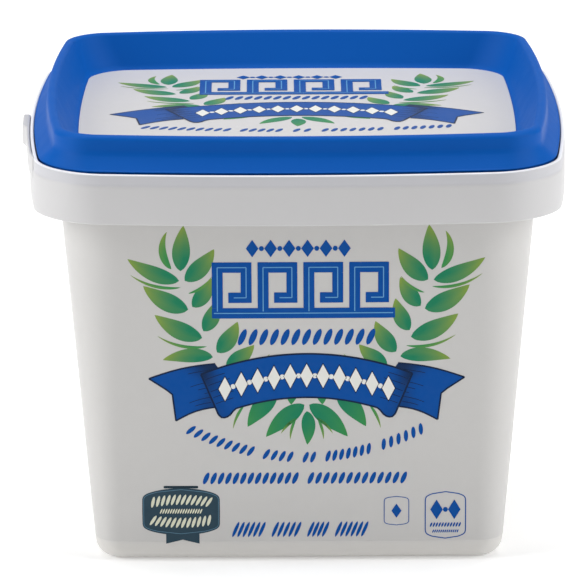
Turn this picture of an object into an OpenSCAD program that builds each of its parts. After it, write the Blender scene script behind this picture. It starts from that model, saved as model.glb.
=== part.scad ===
// Shut food tub: a tapered squarish tub with a deep collar, a snap-in lid with a
// raised ridge round a sunk panel, a film label on the panel, and a tear tab.
// Origin at the middle of the base, +Z up, front face towards -Y. Millimetres.

/* [Tub] */
// Width across the collar, at the middle of its sides
collar_w = 110; // [90:1:140]
// Depth across the collar, front to back
collar_d = 110; // [90:1:140]
// Height of the collar's top edge above the base
tub_h = 84.1; // [60:0.1:110]
// Height of the hanging skirt of the collar
skirt_h = 10.6; // [8:0.1:16]
// Thickness of the skirt
skirt_t = 1.2; // [0.9:0.1:1.6]
// Corner radius of the collar
collar_r = 12.8; // [10:0.1:20]
// How far each side of the collar and the lid's edge bulges at its middle
collar_bow = 3.2; // [0:0.1:4]
// Height of the slightly recessed band under the collar's top edge
band_h = 2.6; // [1.5:0.1:3]
// Depth of that band's recess
band_in = 0.25; // [0:0.05:0.4]
// From the outside of the skirt in to the body at the skirt's lower edge
body_in = 7; // [4:0.1:9]
// How much further in the body is at its base
body_taper = 6.5; // [0:0.1:10]
// Corner radius of the body at the skirt
body_r_top = 11; // [7:0.1:16]
// Corner radius of the body at the base
body_r_base = 5; // [5:0.1:14]
// How far each side of the body bulges at its middle
body_bow = 0.4; // [0:0.1:2]
// Rounding round the base
base_fillet = 3.5; // [1:0.1:4.5]

/* [Lid] */
// Width of the collar's rim that shows round the lid
rim_t = 0.85; // [0.65:0.05:1]
// Clearance between the lid's edge and the collar
lid_gap = 0.1; // [0.05:0.05:0.3]
// How deep the lid's edge sits in the collar
lid_seat = 3; // [2:0.1:4]
// From the collar's top edge up to the top of the ridge
ridge_h = 6.7; // [5.9:0.1:9]
// From the outside of the collar in to the ridge's outer wall
ridge_in = 3.65; // [3:0.05:5.5]
// Radius over the top of the ridge
ridge_round = 1.1; // [0.6:0.1:1.5]
// Corner radius of the ridge
ridge_r = 6.4; // [5:0.1:9]
// Rise of the lid's sloping shoulder, from the collar's edge to the ridge
shoulder_h = 3; // [2:0.1:4.3]

/* [Panel and label] */
// From the outside of the collar in to the edge of the sunk panel
panel_in = 10; // [8:0.1:16]
// Corner radius of the panel
panel_r = 8.3; // [5:0.1:14]
// How far each side of the panel bulges at its middle
panel_bow = 1.5; // [0:0.1:2]
// From the collar's top edge down to the floor of the panel
panel_drop = 0.85; // [0:0.05:1.5]
// Thickness of the label film
label_t = 0.3; // [0.2:0.05:0.5]
// Clearance round the label film
label_gap = 0.1; // [0.05:0.05:0.3]

/* [Tear tab] */
// Length of the tab along the collar's left side
tab_len = 40; // [30:1:42]
// Height of the tab
tab_h = 4.2; // [3:0.1:6]
// Length of the thick grip at the tab's free end
grip_len = 9.5; // [5:0.5:12]
// How far the grip stands out from the collar
grip_out = 1.55; // [1.3:0.05:2.5]
// How far the strip behind the grip stands out
strip_out = 0.65; // [0.6:0.05:1]
// Slit between the tab and the collar
tab_gap = 0.15; // [0.1:0.05:0.3]

/* [Hidden] */

ARC_STEPS = 8;         // facets round each corner
SIDE_STEPS = 8;        // facets along each side
FILLET_STEPS = 4;      // rings up the base fillet
EDGE = 0.3;            // softening of thin plastic edges
skirt_z = tub_h - skirt_h;
deck_z = tub_h - lid_seat;
roof_z = deck_z - 1.5;                 // underside of the collar, over the hollow of the skirt
floor_z = tub_h - panel_drop;          // top of the sunk panel
ridge_z = tub_h + ridge_h - ridge_round;
ridge_mid = ridge_in + ridge_round;
shoulder_z = tub_h + shoulder_h;
lid_in = rim_t + lid_gap;
TAB_START = 2;         // the grip's free end, measured along Y
TAB_DROP = 0.4;        // from the collar's top edge down to the tab
TAB_ROOT = 5;          // length over which the tab grows out of the collar
TAB_SINK = 0.6;        // how deep the root runs into the skirt
TAB_TAPER = 0.15;      // how much closer to the collar the strip lies at its root

// Rounded rectangle of half sizes hw and hd, corner radius r, as points anticlockwise
function corner(q) = [[1, 1], [-1, 1], [-1, -1], [1, -1]][q % 4];
function arc_point(q, a, hw, hd, r) =
    [corner(q).x * (hw - r) + r * cos(a), corner(q).y * (hd - r) + r * sin(a)];
function rounded(hw, hd, r) = [
    for (q = [0:3])
        let (a1 = 90 * (q + 1),
             from = arc_point(q, a1, hw, hd, r),
             to = arc_point(q + 1, a1, hw, hd, r))
        each concat(
            [for (s = [0:ARC_STEPS]) arc_point(q, 90 * (q + s / ARC_STEPS), hw, hd, r)],
            [for (s = [1:SIDE_STEPS - 1]) from + (to - from) * s / SIDE_STEPS])];

// Bulge of a side: full at its middle, none at its ends
function bulge(along, half, bow) = bow * (1 - pow(min(abs(along) / half, 1), 2));

// One ring of a shell, set in by inset from the outside of the collar
function ring(inset, z, r, bow) =
    let (hw = collar_w / 2 - inset - bow, hd = collar_d / 2 - inset - bow)
    [for (p = rounded(hw, hd, r))
        [p.x + sign(p.x) * bulge(p.y, hd, bow) * min(abs(p.x) / hw, 1),
         p.y + sign(p.y) * bulge(p.x, hw, bow) * min(abs(p.y) / hd, 1),
         z]];

function body_ring(t, inset, z) =
    ring(body_in + body_taper * (1 - t) + inset, z,
         body_r_base + (body_r_top - body_r_base) * t - inset, body_bow);
function collar_ring(inset, z) = ring(inset, z, collar_r - inset, collar_bow);
function lid_ring(inset, z) =
    ring(inset, z,
         lookup(inset, [[lid_in, collar_r - lid_in], [ridge_in, ridge_r], [panel_in, panel_r]]),
         lookup(inset, [[ridge_mid, collar_bow], [panel_in, panel_bow]]));

// A closed skin over rings of the same number of points
module skin(rings) {
    n = len(rings[0]);
    top = (len(rings) - 1) * n;
    polyhedron(
        points = [for (r = rings) each r],
        faces = concat(
            [[for (j = [0:n - 1]) j]],
            [for (i = [0:len(rings) - 2], j = [0:n - 1])
                let (k = i * n, m = (j + 1) % n)
                each [[k + j, k + n + j, k + n + m], [k + j, k + n + m, k + m]]],
            [[for (j = [n - 1:-1:0]) top + j]]));
}

// The body's wall runs on up inside the skirt with the same taper
module tub_shell() {
    roof_t = roof_z / skirt_z;
    skin(concat(
        [for (s = [0:FILLET_STEPS])
            let (a = 90 * s / FILLET_STEPS, z = base_fillet * (1 - cos(a)))
            body_ring(z / skirt_z, base_fillet * (1 - sin(a)), z)],
        [body_ring(1, 0, skirt_z),
         body_ring(roof_t, 0, roof_z),
         collar_ring(skirt_t, roof_z),
         collar_ring(skirt_t, skirt_z + EDGE),
         collar_ring(skirt_t - EDGE, skirt_z),
         collar_ring(EDGE, skirt_z),
         collar_ring(0, skirt_z + EDGE),
         collar_ring(0, tub_h - band_h - EDGE),
         collar_ring(band_in, tub_h - band_h),
         collar_ring(band_in, tub_h - EDGE),
         collar_ring((band_in + rim_t) / 2, tub_h),
         collar_ring(rim_t, tub_h - EDGE),
         collar_ring(rim_t, deck_z)]));
}

// How far a rounded corner of radius r has turned in, over past the end of the straight side
function turned_in(over, r) = r - sqrt(r * r - pow(max(over, 0), 2));

// The outside of the collar's left side at distance y along it
function side_x(y) =
    let (hw = collar_w / 2 - collar_bow, hd = collar_d / 2 - collar_bow)
    -(hw + bulge(y, hd, collar_bow) - turned_in(abs(y) - (hd - collar_r), collar_r));

// One cross-section of the tab: from near (to the collar) to far (its outside)
function tab_section(s, near, far) =
    let (y = TAB_START - s, x = side_x(y), top = tub_h - TAB_DROP, low = top - tab_h,
         edge = min(EDGE, (far - near) / 2))
    [[x - near, y, low], [x - far + edge, y, low], [x - far, y, low + EDGE],
     [x - far, y, top - EDGE], [x - far + edge, y, top], [x - near, y, top]];

module tear_tab() {
    strip_start = grip_len + 2;
    strip_end = tab_len - TAB_ROOT;
    skin(concat(
        [tab_section(0, tab_gap, grip_out - EDGE),
         tab_section(EDGE, tab_gap, grip_out),
         tab_section(grip_len, tab_gap, grip_out)],
        [for (k = [0:5])
            tab_section(strip_start + (strip_end - strip_start) * k / 5, tab_gap, strip_out - TAB_TAPER * k / 5)],
        [tab_section(strip_end + 1, -TAB_SINK, strip_out - TAB_TAPER),
         tab_section(tab_len, -TAB_SINK, 0.05)]));
}

module tub() {
    color("whitesmoke") {
        tub_shell();
        tear_tab();
    }
}

module lid() {
    color("royalblue")
    skin(concat(
        [lid_ring(lid_in, deck_z),
         lid_ring(lid_in, tub_h - EDGE),
         lid_ring(lid_in + EDGE, tub_h),
         lid_ring(ridge_in - EDGE, shoulder_z - EDGE),
         lid_ring(ridge_in, shoulder_z)],
        [for (a = [180:-24:36])
            lid_ring(ridge_mid + ridge_round * cos(a), ridge_z + ridge_round * sin(a))],
        [lid_ring(panel_in - 2 * EDGE, floor_z + EDGE),
         lid_ring(panel_in, floor_z)]));
}

module lid_label() {
    color("gainsboro")
    skin([
        lid_ring(panel_in + label_gap, floor_z),
        lid_ring(panel_in + label_gap, floor_z + label_t)]);
}

tub();
lid();
lid_label();
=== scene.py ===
import math

import bpy
import numpy as np
from mathutils import Matrix, Vector


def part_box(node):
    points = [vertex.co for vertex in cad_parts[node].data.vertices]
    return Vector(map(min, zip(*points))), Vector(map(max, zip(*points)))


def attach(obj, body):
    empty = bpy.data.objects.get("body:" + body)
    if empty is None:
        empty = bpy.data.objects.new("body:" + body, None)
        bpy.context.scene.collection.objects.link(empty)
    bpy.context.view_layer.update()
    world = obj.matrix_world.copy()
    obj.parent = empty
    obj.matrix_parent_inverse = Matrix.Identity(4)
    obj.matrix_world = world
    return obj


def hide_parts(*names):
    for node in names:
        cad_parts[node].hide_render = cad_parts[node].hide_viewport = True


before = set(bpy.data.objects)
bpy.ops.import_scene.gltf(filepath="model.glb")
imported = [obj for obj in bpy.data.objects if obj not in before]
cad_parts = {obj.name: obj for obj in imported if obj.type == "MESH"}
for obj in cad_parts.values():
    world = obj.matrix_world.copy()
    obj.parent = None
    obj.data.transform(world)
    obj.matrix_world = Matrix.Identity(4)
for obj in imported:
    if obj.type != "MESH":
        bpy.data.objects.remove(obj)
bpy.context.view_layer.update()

MM = 0.001

# Camera: a long lens a little above the front of the tub, looking down at
# the lid, with the front face square to the view.
look_at = Vector((-0.85, 0, 45.55)) * MM
distance = 1409.8
pitch, yaw, roll = np.radians([14.44, -0.18, -0.24])
back = Vector((math.sin(yaw) * math.cos(pitch), -math.cos(yaw) * math.cos(pitch), math.sin(pitch)))
level = Vector((math.cos(yaw), math.sin(yaw), 0))
upright = back.cross(level)
right = level * math.cos(roll) + upright * math.sin(roll)
up = upright * math.cos(roll) - level * math.sin(roll)
camera = bpy.data.objects.new("camera", bpy.data.cameras.new("camera"))
camera.data.sensor_width = 36
camera.data.lens = 415.8
camera.data.clip_end = 20
turned = Matrix((right, up, back)).transposed().to_4x4()
camera.matrix_world = Matrix.Translation(look_at + back * distance * MM) @ turned
bpy.context.scene.collection.objects.link(camera)
bpy.context.scene.camera = camera
bpy.context.scene.view_settings.view_transform = "Standard"


# Tub: one injection-moulded piece of white polypropylene. The body tapers in
# to a flat base; at its mouth the wall turns out and down into a deep collar
# whose rim stands round the lid. The base is dished inside a narrow foot.
tub_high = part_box("tub")[1]
half_w = tub_high.x
half_d = tub_high.y
tub_h = tub_high.z
skirt_h = 10.6 * MM
skirt_z = tub_h - skirt_h
skirt_t = 1.2 * MM
collar_r = 12.8 * MM
collar_bow = 3.2 * MM
body_in = 7 * MM
body_taper = 6.5 * MM
body_r_top = 11 * MM
body_r_base = 5 * MM
body_bow = 0.4 * MM
base_fillet = 3.5 * MM
band_h = 2.6 * MM
band_in = 0.15 * MM
step_below, step_above = 0.4 * MM, 0.2 * MM
rim_t = 0.85 * MM
rim_drop = 0.26 * MM  # the rim lies lower here, so that the seam under the lid's lip shows
rim_slope = 0.12 * MM
deck_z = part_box("lid")[0].z
deck_t = 1.5 * MM
roof_z = deck_z - deck_t


def perimeter(arc_steps=22, side_steps=34):
    """Once round the outline, four times a corner and a side: the corner's signs in x and y, which
    blend into the next corner's along the side, and the angle of its arc."""
    turn = np.linspace(0, 1, arc_steps + 1)
    along = np.linspace(0, 1, side_steps + 1)[1:-1]
    blend = np.concatenate([np.zeros(arc_steps + 1), along])
    angle = np.concatenate([turn, np.ones(side_steps - 1)]) * math.pi / 2
    quarter = np.arange(4)[:, None]
    signs = np.array([[1, 1], [-1, 1], [-1, -1], [1, -1]])
    here, there = signs[quarter], signs[(quarter + 1) % 4]
    mixed = here * (1 - blend[None, :, None]) + there * blend[None, :, None]
    return mixed[..., 0].ravel(), mixed[..., 1].ravel(), (angle + quarter * math.pi / 2).ravel()


def rings(profile):
    """Rounded rectangles with bulging sides, one for each (inset, z, corner radius, bulge) of the
    profile: corner centre plus arc, pushed out by a parabola along each side."""
    inset, z, radius, bow = [c[:, None] for c in np.asarray(profile, float).T]
    sx, sy, angle = perimeter()
    hw, hd = half_w - inset - bow, half_d - inset - bow
    radius = np.maximum(radius, 0.2 * MM)
    x = sx * (hw - radius) + radius * np.cos(angle)
    y = sy * (hd - radius) + radius * np.sin(angle)
    swell_x = bow * (1 - np.minimum(np.abs(y) / hd, 1) ** 2) * np.minimum(np.abs(x) / hw, 1)
    swell_y = bow * (1 - np.minimum(np.abs(x) / hw, 1) ** 2) * np.minimum(np.abs(y) / hd, 1)
    return np.stack([x + np.sign(x) * swell_x, y + np.sign(y) * swell_y, z + 0 * x], -1)


def softened(corners, radius, steps=5):
    """The polyline with each inner corner replaced by a quadratic curve that starts and ends
    radius away from it, or less than half way to the next corner where that is nearer."""
    corners = np.asarray(corners, float)
    before, at, after = corners[:-2], corners[1:-1], corners[2:]
    behind = np.linalg.norm((at - before)[:, :2], axis=1)[:, None]
    ahead = np.linalg.norm((after - at)[:, :2], axis=1)[:, None]
    reach = np.minimum(radius, 0.45 * np.minimum(behind, ahead))
    start = at + (before - at) * reach / behind
    end = at + (after - at) * reach / ahead
    t = np.linspace(0, 1, steps)[None, :, None]
    bend = (1 - t) ** 2 * start[:, None] + 2 * t * (1 - t) * at[:, None] + t ** 2 * end[:, None]
    return np.vstack([corners[:1], bend.reshape(-1, corners.shape[1]), corners[-1:]])


def grid_faces(rows, cols, wrap_cols=False, wrap_rows=False):
    """Quads of a rows x cols grid of points, closed round the columns or the rows where asked."""
    i = np.arange(rows if wrap_rows else rows - 1)[:, None]
    j = np.arange(cols if wrap_cols else cols - 1)[None, :]
    i1, j1 = (i + 1) % rows, (j + 1) % cols
    quads = np.stack([i * cols + j, i * cols + j1, i1 * cols + j1, i1 * cols + j], -1)
    return quads.reshape(-1, 4)


def tube_faces(rows, cols):
    """Faces of a tube of rings with a flat cap on its first ring and on its last."""
    last = (rows - 1) * cols
    caps = [list(range(cols))[::-1], list(range(last, last + cols))]
    return grid_faces(rows, cols, wrap_cols=True).tolist() + caps


def piece(name, points, faces, material, slot, smooth=True, **attributes):
    """A mesh object from whole arrays, riding on the root body, with one material and its colours
    for each point, if any, as attributes."""
    mesh = bpy.data.meshes.new(name)
    mesh.from_pydata(np.asarray(points).reshape(-1, 3).tolist(), [], faces)
    mesh.polygons.foreach_set("use_smooth", np.full(len(mesh.polygons), smooth))
    for key, colour in attributes.items():
        rgba = np.ones((len(mesh.vertices), 4), np.float32)
        rgba[:, :3] = colour
        mesh.attributes.new(key, "FLOAT_COLOR", "POINT").data.foreach_set("color", rgba.ravel())
    mesh.materials.append(material)
    made = bpy.data.objects.new(name, mesh)
    bpy.context.scene.collection.objects.link(made)
    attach(made, "root")
    return made


def loft(name, profile, material, slot, closed_loop=False):
    """A shell through the profile's rings, capped at both ends, or a closed sleeve where the
    profile is a loop."""
    grid = rings(profile)
    rows, cols = grid.shape[:2]
    if closed_loop:
        faces = grid_faces(rows, cols, wrap_cols=True, wrap_rows=True).tolist()
    else:
        faces = tube_faces(rows, cols)
    return piece(name, grid, faces, material, slot)


class Value:
    """A node's output socket. The operators + - and * on it add Math nodes."""

    def __init__(self, finish, socket):
        self.finish, self.socket = finish, socket

    def math(self, operation, a, b):
        return self.finish.node("ShaderNodeMath", {"operation": operation}, {0: a, 1: b})

    def __add__(self, other):
        return self.math("ADD", self, other)

    def __sub__(self, other):
        return self.math("SUBTRACT", self, other)

    def __rsub__(self, other):
        return self.math("SUBTRACT", other, self)

    def __mul__(self, other):
        return self.math("MULTIPLY", self, other)

    __radd__, __rmul__ = __add__, __mul__


class Finish:
    """One material: its Principled shader, with constants set on the sockets, and the nodes that
    feed it. Patterns lie on the object's own coordinates."""

    def __init__(self, name, **constants):
        self.material = bpy.data.materials.new(name)
        self.material.use_nodes = True
        self.tree = self.material.node_tree
        self.shader = self.tree.nodes["Principled BSDF"]
        for socket, value in constants.items():
            self.shader.inputs[socket.replace("_", " ")].default_value = value
        self.place = self.node("ShaderNodeTexCoord", {}, {}, "Object")

    def node(self, kind, settings, inputs, output=0):
        """Any node: its type, its settings, and the values or links of its input sockets."""
        made = self.tree.nodes.new(kind)
        for key, value in settings.items():
            setattr(made, key, value)
        for key, value in inputs.items():
            if isinstance(value, Value):
                self.tree.links.new(value.socket, made.inputs[key])
            else:
                made.inputs[key].default_value = value
        return Value(self, made.outputs[output])

    def noise(self, scale, detail):
        """Soft noise from 0 to 1, with scale waves to the metre."""
        inputs = {"Vector": self.place, "Scale": scale, "Detail": detail}
        return self.node("ShaderNodeTexNoise", {}, inputs, "Fac")

    def mix(self, factor, a, b):
        """Colour a where factor is 0, b where it is 1."""
        return self.node("ShaderNodeMix", {"data_type": "RGBA"}, {0: factor, 6: a, 7: b}, 2)

    def rise(self, value, low, high):
        """0 below low, 1 above high and a smooth step between."""
        return self.node("ShaderNodeMapRange", {"interpolation_type": "SMOOTHSTEP"},
                         {"Value": value, "From Min": low, "From Max": high}, "Result")

    def feed(self, **links):
        """Links values to the shader's sockets."""
        for socket, value in links.items():
            self.tree.links.new(value.socket, self.shader.inputs[socket.replace("_", " ")])

    def bump(self, height, distance):
        """Raises the surface by up to distance where height is 1."""
        inputs = {"Height": height, "Distance": distance, "Strength": 1.0}
        self.feed(Normal=self.node("ShaderNodeBump", {}, inputs, "Normal"))

    def uneven_gloss(self, scale, middle, spread):
        """Roughness that wanders by half of spread each way from its middle."""
        self.feed(Roughness=self.noise(scale, 3) * spread + (middle - spread / 2))


def moulded(name, light, dark, rough, grain, gloss):
    """Moulded plastic: faint flow clouds in the colour, uneven gloss and a fine matte grain."""
    finish = Finish(name, IOR=1.49, Specular_IOR_Level=gloss)
    finish.colour = finish.mix(finish.noise(38, 3), (*dark, 1), (*light, 1))
    finish.feed(Base_Color=finish.colour)
    finish.uneven_gloss(210, rough, 0.12)
    finish.bump(finish.noise(2600, 2) * 0.6 + finish.noise(90, 2), grain)
    return finish


def tub_plastic(name):
    """White polypropylene, satin and fine-grained."""
    return moulded(name, (0.600, 0.594, 0.598), (0.575, 0.570, 0.575), 0.42, 0.02 * MM, 0.35)


def tub_plastic_painted_light():
    """The tub's plastic, with light and shade painted on by height: painted shade in the recessed
    band, tinted blue for the lid's edge showing through, a painted highlight on the rim above it,
    and the foot painted warmer and paler to lift its shade."""
    finish = tub_plastic("white_plastic")
    height = finish.node("ShaderNodeSeparateXYZ", {}, {"Vector": finish.place}, "Z")
    # Painted shade: the recessed band under the rim is painted darker, with a blue tint for the
    # lid's colour shining through the thin plastic.
    band = finish.rise(height, tub_h - band_h - step_below, tub_h - band_h + step_above)
    # Painted highlight: the top 0.65 mm of the collar's rim is painted much brighter, for the light
    # that the thin rim catches and lets through.
    rim = finish.rise(height, tub_h - 0.65 * MM, tub_h - 0.4 * MM)
    # Painted light: below about 5 mm the tub is painted warmer and paler, lifting the shade on the
    # base's downward-facing fillet.
    above_foot = finish.rise(height, 3.5 * MM, 5.5 * MM)
    band_painted_shade, foot_painted_light, rim_painted_highlight = (0.56, 0.56, 0.588), (0.65, 0.635, 0.61), (0.84, 0.85, 0.89)
    colour = finish.mix(band, finish.colour, (*band_painted_shade, 1))
    colour = finish.mix(above_foot, (*foot_painted_light, 1), colour)
    finish.feed(Base_Color=finish.mix(rim, colour, (*rim_painted_highlight, 1)))
    return finish.material


def body_row(z, extra=0.0):
    """The body's wall at height z: its taper and corner radius run on in straight lines."""
    share = z / skirt_z
    return [body_in + body_taper * (1 - share) + extra, z,
            body_r_base + (body_r_top - body_r_base) * share - extra, body_bow]


def collar_row(inset, z):
    """The collar at inset from its outside: the corner tightens as the inset grows."""
    return [inset, z, collar_r - inset, collar_bow]


foot_w = 5 * MM
foot_slope = 1 * MM
foot_r = 3 * MM
dish = 0.9 * MM
dish_w = 8 * MM
dish_r = 2 * MM
edge_round = 0.3 * MM
foot_in = body_row(0, base_fillet)[0]
dished = [[foot_in + foot_w + dish_w, dish, dish_r, body_bow],
          [foot_in + foot_w, dish, foot_r, body_bow],
          [foot_in + foot_w - foot_slope, 0, foot_r, body_bow]]
turn = np.radians(np.arange(0, 91, 15))
fillet = [body_row(base_fillet * (1 - c), base_fillet * (1 - s))
          for c, s in zip(np.cos(turn), np.sin(turn))]
wall = [body_row(z) for z in np.linspace(base_fillet, skirt_z, 14)[1:-1]]
collar_turns = softened([
    body_row(skirt_z), body_row(roof_z),
    collar_row(skirt_t, roof_z), collar_row(skirt_t, skirt_z), collar_row(0, skirt_z),
    collar_row(0, tub_h - band_h - step_below), collar_row(band_in, tub_h - band_h + step_above),
    collar_row(band_in, tub_h - rim_drop - rim_slope), collar_row(rim_t, tub_h - rim_drop),
    collar_row(rim_t, deck_z)], edge_round)
tub_profile = dished + fillet + wall + collar_turns.tolist()
tub = loft("tub_shell", tub_profile, tub_plastic_painted_light(), "white_plastic")
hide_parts("tub")


# Tear tab: part of the same moulding, a thin strip cut free from the collar's
# left side and thickened into a grip at its free end. It grows out of the
# collar near the front corner.
tab_start = 2 * MM
tab_len = 40 * MM
tab_h = 4.2 * MM
tab_top = tub_h - 0.4 * MM
tab_gap = 0.08 * MM
grip_len = 9.5 * MM
grip_out = 1.55 * MM
grip_fall = 3 * MM
strip_out = 0.65 * MM
strip_thins = 0.15 * MM
root_len = 5 * MM
root_out = 0.1 * MM
root_sink = 0.5 * MM
slit_closes = 3 * MM
tip_len = 0.6 * MM
tip_low = 0.35 * MM


def ease(x):
    """Smooth step from 0 to 1."""
    x = np.clip(x, 0, 1)
    return x * x * (3 - 2 * x)


def side_x(y):
    """The outside of the collar's left side at distance y along it: its bulge, less the turn of
    the rounded corner."""
    hd = half_d - collar_bow
    over = np.maximum(np.abs(y) - (hd - collar_r), 0)
    middle = half_w - collar_bow * (np.abs(y) / hd) ** 2
    return -(middle - collar_r + np.sqrt(collar_r ** 2 - over ** 2))


def tear_tab():
    """A flat rounded bar, a superellipse in section, carried along the collar's side: its outer
    face eases from grip to strip to root, and its inner face follows the recessed band."""
    s = np.concatenate([np.linspace(0, 0.6, 5) * MM, np.linspace(1 * MM, tab_len, 60)])[:, None]
    a = np.linspace(0, 2 * math.pi, 40, endpoint=False)[None, :]
    root_start = tab_len - root_len
    root = ease((s - root_start) / root_len)
    closing = ease((s - (root_start - 2 * MM)) / slit_closes)
    out = grip_out + (strip_out - grip_out) * ease((s - grip_len) / grip_fall)
    out = (out - strip_thins * s / tab_len) * (1 - root) + root_out * root
    near = tab_gap * (1 - closing) - root_sink * root
    tip = np.sqrt(np.clip(1 - (1 - np.minimum(s / tip_len, 1)) ** 2, 0.04, 1))
    half_t, half_h = (out - near) / 2, tab_h / 2 - tip_low * (1 - tip)
    squareness = 0.35
    cx = np.sign(np.cos(a)) * np.abs(np.cos(a)) ** squareness
    cz = np.sign(np.sin(a)) * np.abs(np.sin(a)) ** squareness
    y = tab_start - s
    z = tab_top - tab_h / 2 + half_h * cz
    recess = ease((z - (tub_h - band_h - 0.3 * MM)) / (0.6 * MM))
    follow = band_in * recess * np.clip(-cx, 0, 1)
    x = side_x(y) - (out + near) / 2 - half_t * cx * (0.6 + 0.4 * tip) + follow
    grid = np.stack([x, y + 0 * a, z + 0 * x], -1)
    plastic = tub_plastic("tab_plastic").material
    piece("tear_tab", grid, tube_faces(*grid.shape[:2]), plastic, "white_plastic")


tear_tab()


# Body film: the white in-mould film that carries the front's print. It wraps
# the body from just above the base up into the collar, fused to the wall.
film_t = 0.03 * MM
film_low = base_fillet + 0.8 * MM
film_top = roof_z - 1 * MM


def film_finish(name, tone):
    """White film: very even colour, a smoother gloss than the plastic, and slight waviness."""
    finish = Finish(name, IOR=1.5, Specular_IOR_Level=0.25)
    darker = [0.97 * c for c in tone]
    finish.feed(Base_Color=finish.mix(finish.noise(500, 4), (*darker, 1), (*tone, 1)))
    finish.uneven_gloss(150, 0.35, 0.10)
    finish.bump(finish.noise(60, 2) + finish.noise(1500, 2) * 0.15, 0.03 * MM)
    return finish.material


film_white = film_finish("film_white", (0.593, 0.584, 0.571))
edge_w = 0.1 * MM
film_sunk = 0.2 * MM
between = np.linspace(film_low + edge_w, film_top - edge_w, 22)
heights = np.concatenate([[film_low], between, [film_top]])
sleeve = [body_row(z, -film_t) for z in heights]
sleeve += [body_row(z, film_sunk) for z in heights[::-1]]
loft("body_film", sleeve, film_white, "white_plastic", closed_loop=True)


# Lid: injection-moulded blue polypropylene. Its edge sits inside the collar's
# rim, a steep shoulder rises to a narrow rounded ridge, and the ridge falls
# away inside to the sunk panel.
panel_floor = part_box("lid_label")[0].z
label_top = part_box("lid_label")[1].z
lid_gap = 0.1 * MM
lid_in = rim_t + lid_gap
ridge_in = 3.65 * MM
ridge_round = 1.1 * MM
ridge_r = 6.4 * MM
ridge_h = 6.7 * MM
ridge_z = tub_h + ridge_h - ridge_round
ridge_mid = ridge_in + ridge_round
shoulder_h = 3 * MM
shoulder_z = tub_h + shoulder_h
panel_in = 10 * MM
panel_r = 8.3 * MM
panel_bow = 1.5 * MM


def lid_row(inset, z):
    """The lid's corner radius and side bulge change with the distance in from the collar."""
    return [inset, z,
            np.interp(inset, [lid_in, ridge_in, panel_in], [collar_r - lid_in, ridge_r, panel_r]),
            np.interp(inset, [ridge_mid, panel_in], [collar_bow, panel_bow])]


blue = moulded("blue_plastic", (0.003, 0.099, 0.440), (0.002, 0.090, 0.412), 0.50, 0.02 * MM, 0.08)
lip_in = lid_in + 0.35 * MM
seam = [lid_row(lip_in, deck_z), lid_row(lip_in, tub_h - 0.1 * MM),
        lid_row(lid_in + 0.1 * MM, tub_h - 0.02 * MM)]
over = np.radians(np.arange(180, 24, -9))
crest = [lid_row(ridge_mid + ridge_round * c, ridge_z + ridge_round * s)
         for c, s in zip(np.cos(over), np.sin(over))]
shoulder = softened([
    lid_row(lid_in + 0.03 * MM, tub_h + 0.05 * MM), lid_row(lip_in, tub_h + 0.25 * MM),
    lid_row(ridge_in - 0.25 * MM, shoulder_z - 0.2 * MM),
    lid_row(ridge_in, shoulder_z + 0.6 * MM), crest[0]], 0.4 * MM)
fall = softened([
    crest[-1], lid_row(panel_in - 0.9 * MM, panel_floor + 0.9 * MM),
    lid_row(panel_in, panel_floor), lid_row(panel_in + 3 * MM, panel_floor)], 0.7 * MM)
lid_profile = seam + shoulder.tolist() + crest[1:-1] + fall.tolist()
lid = loft("lid_shell", lid_profile, blue.material, "blue_plastic")
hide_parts("lid")


# Lid label: a white printed film fused to the sunk panel, with a barely raised
# edge.
label_gap = 0.1 * MM
label_in = panel_in + label_gap
film_face = label_top - 0.02 * MM
label_white = film_finish("label_white", (0.65, 0.64, 0.64))
label_profile = softened([
    lid_row(label_in + 0.05 * MM, panel_floor), lid_row(label_in, panel_floor + 0.1 * MM),
    lid_row(label_in, film_face), lid_row(label_in + 1 * MM, film_face)], 0.08 * MM)
label = loft("lid_label_film", label_profile, label_white, "label_film")
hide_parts("lid_label")


# Front print: generic decoration in flat inks on the body film, as on a dairy
# tub: two leaf sprays, a plain banner, a key-pattern frieze, rows of small
# grains where lines of print would be, and three small badges. No lettering.
ink_t = 0.02 * MM
layer_t = 0.012 * MM


def on_front(u, v, lift):
    """Puts print coordinates, across and up, on the tapered front wall, lift above its film."""
    inset = body_row(v, -film_t)[0]
    hw = half_w - inset - body_bow
    swell = body_bow * (1 - np.minimum(np.abs(u) / hw, 1) ** 2)
    return np.stack([u, -(half_d - inset - body_bow + swell + lift), v + 0 * u], -1)


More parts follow.
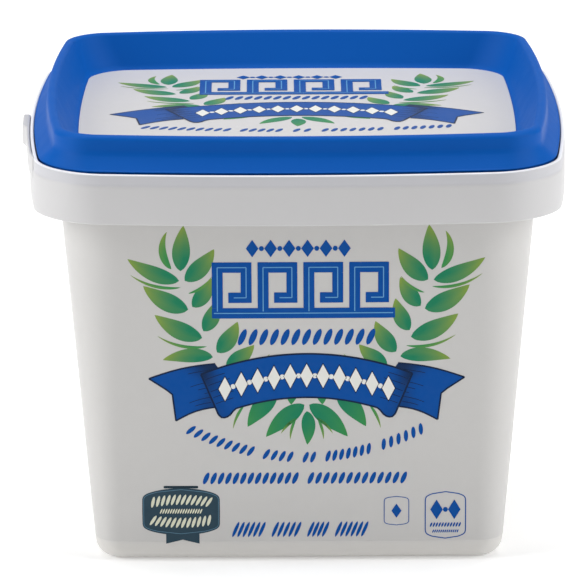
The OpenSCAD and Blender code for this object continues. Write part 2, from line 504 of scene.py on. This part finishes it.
class Print:
    """Flat inked shapes on one face, in millimetres. Each is a grid of points made into a very thin
    closed film, and a higher layer lies over a lower one."""

    def __init__(self, place, outward):
        self.place, self.outward = place, outward
        self.points, self.faces, self.inks, self.count = [], [], [], 0

    def patch(self, u, v, ink, layer=0):
        """A grid of points u, v, inked in one colour or in one for each point: the grid above, its
        copy below, and a wall round its rim, turned so that the grid faces outward."""
        u, v = np.broadcast_arrays(u, v)
        rows, cols = u.shape
        size = rows * cols
        lift = layer_t * (1 + layer)
        top = self.place(u * MM, v * MM, lift)
        low = self.place(u * MM, v * MM, lift - ink_t)
        first_row, last_row = np.arange(cols), np.arange(size - 1, size - cols - 1, -1)
        right_side, left_side = np.arange(2, rows) * cols - 1, np.arange(rows - 2, 0, -1) * cols
        rim = np.concatenate([first_row, right_side, last_row, left_side])
        rim_next = np.roll(rim, -1)
        quads = grid_faces(rows, cols)
        wall = np.stack([rim, rim + size, rim_next + size, rim_next], -1)
        faces = np.vstack([quads, quads[:, ::-1] + size, wall])
        mid_row, mid_col = rows // 2, cols // 2
        facing = np.cross(top[mid_row, -1] - top[mid_row, 0], top[-1, mid_col] - top[0, mid_col])
        if np.dot(facing, self.outward) < 0:
            faces = faces[:, ::-1]
        self.faces.append(faces + self.count)
        self.points.append(np.vstack([top.reshape(-1, 3), low.reshape(-1, 3)]))
        colour = np.broadcast_to(ink, (rows, cols, 3)).reshape(-1, 3)
        self.inks.append(np.vstack([colour, colour]))
        self.count += 2 * size

    def stroke(self, path, width, ink, layer=0, across=3):
        """A band along a path, each point moved square to it: its width is one number or one for
        each point."""
        path = np.asarray(path, float)
        ahead = np.gradient(path, axis=0)
        ahead /= np.linalg.norm(ahead, axis=1)[:, None] + 1e-12
        side = np.stack([-ahead[:, 1], ahead[:, 0]], -1)
        t = np.linspace(-0.5, 0.5, across)[None, :]
        half = np.broadcast_to(width, (len(path),))[:, None] * t
        self.patch(path[:, :1] + side[:, :1] * half, path[:, 1:] + side[:, 1:] * half, ink, layer)

    def bar(self, u0, u1, v0, v1, ink, layer=0, rounding=0.2):
        """A rectangle with its four corners cut by a quarter circle."""
        u = np.linspace(u0, u1, 25)[:, None]
        near = np.minimum(np.minimum(u - u0, u1 - u), rounding)
        cut = rounding - np.sqrt(np.clip(rounding ** 2 - (rounding - near) ** 2, 0, None))
        t = np.linspace(0, 1, 3)[None, :]
        self.patch(u, v0 + cut + (v1 - v0 - 2 * cut) * t, ink, layer)

    def leaf(self, base, angle, length, width, bend, inks, layer=0):
        """A pointed leaf: its midrib bends as it goes, its width swells and closes, and its ink
        runs from the one at its base to the one at its tip, a little ahead on one half."""
        s = np.linspace(0, 1, 20)
        heading = np.radians(angle) + bend * (s - 0.5)
        step = length / (len(s) - 1)
        steps = np.stack([np.cos(heading), np.sin(heading)], -1)[:-1] * step
        path = np.asarray(base) + np.vstack([[0, 0], np.cumsum(steps, axis=0)])
        swell = width * np.sin(math.pi * s ** 0.85) ** 0.8 * (1 - 0.25 * s) + 0.04
        halves = math.copysign(0.09, bend) * np.sign(np.linspace(1, -1, 7))[None, :, None]
        rise = np.clip(1.15 * s[:, None, None] ** 2 + halves, 0, 1)
        self.stroke(path, swell, inks[0] * (1 - rise) + inks[1] * rise, layer, across=7)

    def finish(self, name, material, slot):
        """All the shapes as one piece, their inks in an attribute."""
        points, faces, inks = np.vstack(self.points), np.vstack(self.faces), np.vstack(self.inks)
        return piece(name, points, faces.tolist(), material, slot, smooth=False, ink=inks)


def ink_finish(name, gloss):
    """Printing ink on film: each shape's colour with a faint mottle, and the film's own gloss."""
    finish = Finish(name, IOR=1.5, Specular_IOR_Level=gloss)
    ink = finish.node("ShaderNodeAttribute", {"attribute_name": "ink"}, {}, "Color")
    paler = finish.mix(0.012, ink, (0.8, 0.8, 0.8, 1))
    finish.feed(Base_Color=finish.mix(finish.noise(700, 3), ink, paler))
    finish.uneven_gloss(150, 0.37, 0.10)
    return finish.material


deep_blue = np.array([0.001, 0.074, 0.335])
navy = np.array([0.006, 0.020, 0.060])
pale_line = np.array([0.13, 0.36, 0.62])
leaf_teal = np.array([0.016, 0.215, 0.108])
leaf_green = np.array([0.045, 0.27, 0.080])
leaf_lime = np.array([0.22, 0.33, 0.065])
slate = np.array([0.030, 0.062, 0.088])
paper = np.array([0.80, 0.80, 0.76])
cream = np.array([0.70, 0.71, 0.56])


def spray(sheet, mid, mirror, base, stem_top):
    """One leafy spray, or its mirror image where mirror is -1: leaves up a stem, each with its
    place on the stem, angle, length, width and bend, and a thin curved one beside the top."""
    leaves = [
        (1.00, 86, 9.6, 4.0, -0.1), (0.90, 49, 9.0, 4.1, 0.5), (0.91, 155, 11.4, 3.6, -0.5),
        (0.60, 57, 7.4, 3.6, 0.5), (0.58, 150, 10.4, 4.3, -0.5), (0.32, 68, 7.4, 3.6, 0.5),
        (0.26, 152, 10.8, 4.2, -0.5), (0.08, 58, 7.8, 3.9, 0.5), (0.06, 184, 10.2, 3.3, 0.5),
        (-0.06, 38, 7.2, 3.6, 0.5), (0.84, 164, 10.6, 0.7, -0.8), (0.76, 38, 6.0, 0.6, 0.8),
        (0.17, 166, 10.4, 0.7, -0.8), (-0.14, 28, 9.0, 0.8, 0.8)]
    for at, angle, length, width, bend in leaves:
        slim = width < 2
        turned = np.radians(angle)
        sway = 1.2 * math.sin(math.pi * at)
        u = base[0] + (stem_top[0] - base[0]) * at - sway + 0.7 * math.cos(turned)
        v = base[1] + (stem_top[1] - base[1]) * at + 0.7 * math.sin(turned)
        heading = angle if mirror > 0 else 180 - angle
        inks, layer = ((leaf_green, leaf_lime), 1) if slim else ((leaf_teal, leaf_lime), 0)
        sheet.leaf((mid + mirror * u, v), heading, length, width, mirror * bend, inks, layer)
    beside = (mid + mirror * (stem_top[0] - 1.8), stem_top[1] + 1.1)
    sheet.leaf(beside, 90 + 4 * mirror, 8.5, 1.7, -1.3 * mirror, (leaf_green, leaf_lime), 1)


def fan(sheet, mid, leaves, bend, inks):
    """Leaves that fan out downwards in pairs: how far each turns from straight down, how far from
    the middle and how high it starts, its length and its width. One that doesn't turn is single."""
    for turn, du, v, length, width in leaves:
        for side in (-1, 1) if turn else (1,):
            base = (mid + side * du, v)
            sheet.leaf(base, 270 + side * turn, length, width, -side * bend, inks)


def arch(half, mid_v, drop):
    """Height along a shallow arch: mid_v in the middle and drop lower at half away."""
    return lambda du: mid_v - drop * (np.asarray(du) / half) ** 2


def straight(v):
    """A straight line at height v."""
    return arch(1, v, 0)


def ribbon(middle, half_h, du, t):
    """Points of a band along an arch: du goes along it, and t runs square to it from -1 at its
    lower edge to 1 at its upper one."""
    slope = (middle(du + 0.1) - middle(du - 0.1)) / 0.2
    size = np.hypot(slope, 1)
    return du - half_h * t * slope / size, middle(du) + half_h * t / size


def banner(sheet, mid, middle, half_h, half, tip, low_tip, layer=1):
    """A blank banner: a band along an arch with its ends rolled under, and behind it two
    swallow-tailed ends, shaded and hatched towards the rolls and lined round in navy."""
    t = np.linspace(-1, 1, 9)[None, :]
    s = np.linspace(0, 1, 21)[:, None]
    notch = low_tip[0] + 0.13 * (tip[0] - low_tip[0])
    end_u = np.interp(t, [-1, 0.3, 1], [low_tip[0], notch, tip[0]])
    end_v = np.interp(t, [-1, 1], [low_tip[1], tip[1]])
    start_u = half - 1.1 - 0.35 * half_h * ease(1.4 - np.abs(t - 0.2) * 1.6)
    start_v = float(middle(0)) + half_h * (t - 0.44)
    u = start_u + (end_u - start_u) * s
    v = start_v + (end_v - start_v) * s + 0.12 * half_h * np.sin(math.pi * s)
    shade = 0.92 * (1 - ease(s * 2.1 - 0.25)) * (0.5 + 0.5 * ease(t * 1.2))
    tail_ink = deep_blue * (1 - shade[:, :, None]) + navy * shade[:, :, None]
    for mirror in (-1, 1):
        sheet.patch(mid + mirror * u, v, tail_ink, layer)
        for rim in ((u[:, 0], v[:, 0]), (u[:, -1], v[:, -1]), (u[-1], v[-1])):
            sheet.stroke(np.stack([mid + mirror * rim[0], rim[1]], -1), 0.34, navy, layer + 1)
        for row in range(1, 8):
            reach = slice(2, 8 + 3 * (row % 3))
            hatch = np.stack([mid + mirror * u[reach, row], v[reach, row]], -1)
            sheet.stroke(hatch, 0.13, navy, layer + 1)
    du = np.linspace(-half, half, 61)[:, None]
    roll_w, fade_w = 3.4, 4.2
    u, v = ribbon(middle, half_h, du, t)
    along_roll = np.clip((np.abs(du) - (half - roll_w)) / roll_w, 0, 1)
    v = v - half_h * 0.26 * np.sin(math.pi * along_roll) ** 0.6 * (0.5 - 0.5 * t)
    fade = ease((np.abs(du) - (half - fade_w)) / fade_w) * (0.25 + 0.7 * ease(t * 0.8 + 0.2))
    band_ink = deep_blue * (1 - fade[:, :, None]) + navy * fade[:, :, None]
    sheet.patch(mid + u, v, band_ink, layer + 2)
    for rim in ((u[:, 0], v[:, 0]), (u[:, -1], v[:, -1]), (u[0], v[0]), (u[-1], v[-1])):
        sheet.stroke(np.stack([mid + rim[0], rim[1]], -1), 0.36, navy, layer + 3)
    for mirror in (-1, 1):
        for k in range(1, 6):
            reach = np.linspace(half - 4.6 + 0.5 * (k % 2), half - 0.4, 12)
            u, v = ribbon(middle, half_h, mirror * reach, 1 - 0.3 * k)
            sheet.stroke(np.stack([mid + u, v], -1), 0.13, navy, layer + 3)


def lozenges(sheet, mid, height, count, pitch, size, colour, layer=2, edge=0):
    """A row of lozenges along an arch, with a dot between each two, and a navy edge round each
    lozenge where edge is its width."""
    t = np.linspace(-1, 1, 9)
    borders = [(edge, navy, layer)] if edge else []
    for k in range(count):
        du = (k - (count - 1) / 2) * pitch
        for grow, ink, over in borders + [(0, colour, layer + 1)]:
            upright = float(height(du)) + t * (size[1] / 2 + 1.6 * grow)
            width = (size[0] + 2 * grow) * (1.02 - np.abs(t))
            sheet.stroke(np.stack([mid + du + 0 * t, upright], -1), width, ink, over)
        if k < count - 1:
            du += pitch / 2
            dot = np.stack([mid + du + t * size[0] * 0.2, float(height(du)) + 0 * t], -1)
            sheet.stroke(dot, size[0] * 0.42 * np.sqrt(1.02 - t * t), colour, layer)


def frieze(sheet, left, low, cell, tall, count, width):
    """A key-pattern border: on one base bar, each riser turns over, comes down and winds in, and a
    hairline follows it."""
    layer, line_layer, hairline, square = 3, 5, 0.2, 0.05
    right = left + count * cell
    sheet.bar(left, right, low, low + width, deep_blue, layer, square)
    base_line = np.linspace((left + 0.4, low + width / 2), (right - 0.4, low + width / 2), 25)
    sheet.stroke(base_line, hairline, pale_line, line_layer)
    for k in range(count):
        u0 = left + k * cell
        u1, v1 = u0 + cell - 0.55 * width, low + tall
        hook = low + 1.5 * width
        sheet.bar(u0, u0 + width, low + width, v1, deep_blue, layer, square)
        sheet.bar(u0 + width, u1, v1 - width, v1, deep_blue, layer, square)
        sheet.bar(u1 - width, u1, hook, v1 - width, deep_blue, layer, square)
        sheet.bar(u0 + 1.5 * width, u1 - width, hook, hook + width, deep_blue, layer, square)
        turns = np.array([(u0, low + 0.4), (u0, v1 - width), (u1 - width, v1 - width),
                          (u1 - width, hook), (u0 + 1.5 * width, hook)]) + width / 2
        for a, b in zip(turns[:-1], turns[1:]):
            sheet.stroke(np.linspace(a, b, 4), hairline, pale_line, line_layer)


def rope(sheet, mid, height, spans, tall, colour, layer=1, plump=1.0):
    """A rope border of slanted grains along an arch, in groups with spaces between: plump is the
    grains' width, 1 for the widest."""
    t = np.linspace(-1, 1, 11)
    space, slant = 1.6, 0.42
    at = -(sum(spans) + space * (len(spans) - 1)) / 2
    for span in spans:
        count = max(2, int(round(span / (tall * 0.60 * plump))))
        for k in range(count):
            du = at + (k + 0.5) * span / count
            slope = float(height(du + 0.1) - height(du - 0.1)) / 0.2
            leaning = np.array([slant - slope, 1.0 + slant * slope]) / math.hypot(slope, 1)
            middle = np.array([mid + du, float(height(du))])
            grain = middle + leaning * t[:, None] * tall * 0.48
            sheet.stroke(grain, tall * 0.36 * plump * np.sqrt(1.03 - t ** 2), colour, layer)
        at += span + space


def outline(sheet, mid_u, mid_v, half_u, half_v, belly, width, colour, layer=1):
    """A closed barrel-shaped line: a superellipse whose top and bottom swell by belly."""
    a = np.linspace(0, 2 * math.pi, 145)
    cu, cv = np.cos(a), np.sin(a)
    squareness = 0.15
    u = half_u * np.sign(cu) * np.abs(cu) ** squareness
    swell = half_v + belly * (1 - (u / half_u) ** 2)
    v = swell * np.sign(cv) * np.abs(cv) ** squareness
    sheet.stroke(np.stack([mid_u + u, mid_v + v], -1), width, colour, layer)


def barrel(sheet, mid_u, mid_v, half_u, half_v, belly, colour, layer=1):
    """A filled barrel shape: straight sides, rounded corners, and a swollen top and bottom."""
    u = half_u * np.sin(np.linspace(-math.pi / 2, math.pi / 2, 33))[:, None]
    side = np.clip(1 - np.abs(u / half_u) ** 10, 0, 1) ** 0.1
    v = (half_v + belly * (1 - (u / half_u) ** 2)) * side * np.linspace(-1, 1, 7)[None, :]
    sheet.patch(mid_u + u, mid_v + v, colour, layer)


front = Print(on_front, (0, -1, 0))
mid = 1.6
for mirror in (1, -1):
    spray(front, mid, mirror, (-17.5, 43.0), (-25.3, 61.7))
broad_leaves = [(0, 0.0, 32.4, 7.2, 3.1), (48, 0.5, 33.8, 10.4, 4.0),
                (38, 6.0, 36.6, 9.6, 4.2), (8, 2.6, 37.4, 3.6, 2.4)]
thin_leaves = [(24, 12.6, 33.8, 5.6, 0.6), (44, 1.9, 31.0, 4.8, 0.6), (14, 2.2, 30.8, 4.6, 0.6)]
fan(front, mid, broad_leaves, 0.35, (leaf_teal, leaf_green))
fan(front, mid, thin_leaves, 0.5, (leaf_green, leaf_lime))

# The banner, the lozenges above the frieze, and the rows of grains.
band = arch(19.6, 40.05, 3.95)
banner(front, mid, band, 4.65, 19.6, (31.85, 39.5), (26.45, 30.45))
lozenges(front, mid, band, 11, 3.3, (2.5, 5.0), paper, 4, 0.22)
lozenges(front, mid - 1.6, straight(67.1), 6, 3.7, (2.5, 3.6), deep_blue)
frieze(front, mid - 19.0, 52.3, 9.2, 11.9, 4, 2.2)
rope(front, mid, straight(48.3), (28.0,), 3.5, deep_blue)
sagging = arch(24.5, 22.5, -6.6)
rope(front, mid - 0.2, sagging, (13.6, 6.4, 3.0, 9.6, 9.0), 2.4, deep_blue)
rope(front, mid - 0.4, straight(18.0), (19.6, 20.4), 2.6, deep_blue)
rope(front, mid - 1.4, straight(6.9), (6.4, 5.7, 4.0, 6.4), 3.4, deep_blue, plump=0.55)

# The dark badge with its bar and two flags, and the two light ones.
badge_u, badge_v = -24.0, 10.8
barrel(front, badge_u, badge_v, 7.9, 3.7, 1.4, slate)
outline(front, badge_u, badge_v, 7.6, 3.4, 1.4, 0.14, slate * 3, 2)
front.bar(badge_u - 3.5, badge_u + 3.5, 15.85, 16.4, slate * 0.6, 1, 0.05)
for mirror in (-1, 1):
    flag = np.linspace(0, 3.4, 5)[:, None]
    t = np.linspace(0, 1, 5)[None, :]
    front.patch(badge_u + 0.3 + mirror * flag, 6.2 - t * (1.5 + 0.25 * flag), slate, 0)
for line, span, tall in ((arch(7, 13.4, 0.8), 12.4, 2.3), (straight(10.9), 8.6, 1.1),
                         (arch(7, 8.4, -0.8), 12.4, 2.3)):
    rope(front, badge_u, line, (span,), tall, cream, 3, 0.75)
small_u, large_u = 19.75, 29.7
outline(front, small_u, 10.8, 2.5, 2.6, 0.5, 0.16, deep_blue)
lozenges(front, small_u, straight(10.8), 1, 1.0, (2.0, 3.0), deep_blue)
outline(front, large_u, 9.8, 4.1, 4.0, 1.05, 0.22, deep_blue)
lozenges(front, large_u, straight(11.0), 2, 3.6, (2.5, 4.2), deep_blue)
rope(front, large_u, straight(7.7), (6.4,), 1.0, deep_blue)
rope(front, large_u, straight(6.3), (5.4,), 0.7, deep_blue)
front.finish("front_print", ink_finish("front_ink", 0.04), "white_plastic")


# Lid print: the same decoration, a little larger, in flat inks on the lid's
# label film. It reads from the front and leaves the back of the label plain.
def on_label(u, v, lift):
    """Puts print coordinates, across and back, on the flat label, lift above its film."""
    return np.stack([u + 0 * v, v + 0 * u, label_top + lift + 0 * u + 0 * v], -1)


top_print = Print(on_label, (0, 0, 1))
mid = 0.0
for mirror in (1, -1):
    spray(top_print, mid, mirror, (-18.6, 8.0), (-27.0, 28.6))
broad_leaves = [(0, 0.0, -3.0, 6.9, 3.4), (48, 1.0, -1.6, 9.0, 3.4), (56, 9.0, 0.6, 7.4, 3.4)]
fan(top_print, mid, broad_leaves, 0.35, (leaf_teal, leaf_green))
band = arch(24.5, 5.9, 5.6)
banner(top_print, mid, band, 6.2, 24.5, (38.6, 1.6), (32.3, -8.2))
lozenges(top_print, mid, band, 11, 3.9, (2.8, 6.0), paper, 4, 0.24)
lozenges(top_print, mid - 1.4, straight(36.0), 6, 3.9, (2.7, 3.4), deep_blue)
frieze(top_print, mid - 20.3, 19.5, 9.9, 14.2, 4, 2.5)
rope(top_print, mid, straight(16.4), (30.0,), 3.4, deep_blue)
sagging = arch(33, -13.6, -3.6)
rope(top_print, mid, sagging, (18.6, 9.0, 4.4, 13.2, 12.4), 3.0, deep_blue)
top_print.finish("lid_print", ink_finish("lid_ink", 0.18), "label_film")


# Stage: one pale paper sweep whose floor curves up into a wall far behind the
# tub, and soft studio light from two boxes at the sides and one above.
def sweep(reach, front_y, back_y, radius, wall_h):
    """A floor that runs back and bends up through a quarter circle into a wall."""
    bend = np.radians(np.linspace(0, 90, 13))
    curve = np.stack([back_y - radius * (1 - np.sin(bend)), radius * (1 - np.cos(bend))], -1)
    profile = np.concatenate([[[front_y, 0]], curve, [[back_y, wall_h]]])
    x = np.array([-reach, reach])
    grid = np.stack(np.broadcast_arrays(x[None, :], profile[:, :1], profile[:, 1:]), -1)
    mesh = bpy.data.meshes.new("sweep")
    faces = grid_faces(len(profile), 2)[:, ::-1]
    mesh.from_pydata(grid.reshape(-1, 3).tolist(), [], faces.tolist())
    mesh.polygons.foreach_set("use_smooth", np.ones(len(mesh.polygons), bool))
    finish = Finish("sweep_paper", Roughness=0.9,
                    Emission_Color=(1, 1, 1, 1), Emission_Strength=0.24)
    cloud = finish.noise(3, 2)
    finish.feed(Base_Color=finish.mix(cloud, (0.94, 0.94, 0.94, 1), (0.96, 0.96, 0.96, 1)))
    mesh.materials.append(finish.material)
    made = bpy.data.objects.new("sweep", mesh)
    bpy.context.scene.collection.objects.link(made)


sweep(reach=4.0, front_y=-4.0, back_y=4.0, radius=0.8, wall_h=4.0)
world = bpy.data.worlds.new("studio")
world.use_nodes = True
background = world.node_tree.nodes["Background"]
background.inputs["Color"].default_value = (1, 1, 1, 1)
background.inputs["Strength"].default_value = 0.03
bpy.context.scene.world = world


def softbox(name, place, aim, width, height, power):
    """A rectangular area light at place, turned to face aim."""
    light = bpy.data.lights.new(name, "AREA")
    light.shape = "RECTANGLE"
    light.size, light.size_y = width, height
    light.energy = power
    made = bpy.data.objects.new(name, light)
    made.location = place
    made.rotation_euler = (Vector(aim) - Vector(place)).to_track_quat("-Z", "Y").to_euler()
    bpy.context.scene.collection.objects.link(made)


tub_middle = (0, 0, 0.05)
softbox("left_box", (-1.1, -0.28, 0.55), tub_middle, 0.7, 1.0, 10.3)
softbox("right_box", (1.1, -0.28, 0.55), tub_middle, 0.7, 1.0, 9.2)
softbox("top_box", (0, 0.15, 1.2), tub_middle, 1.2, 0.9, 12.0)
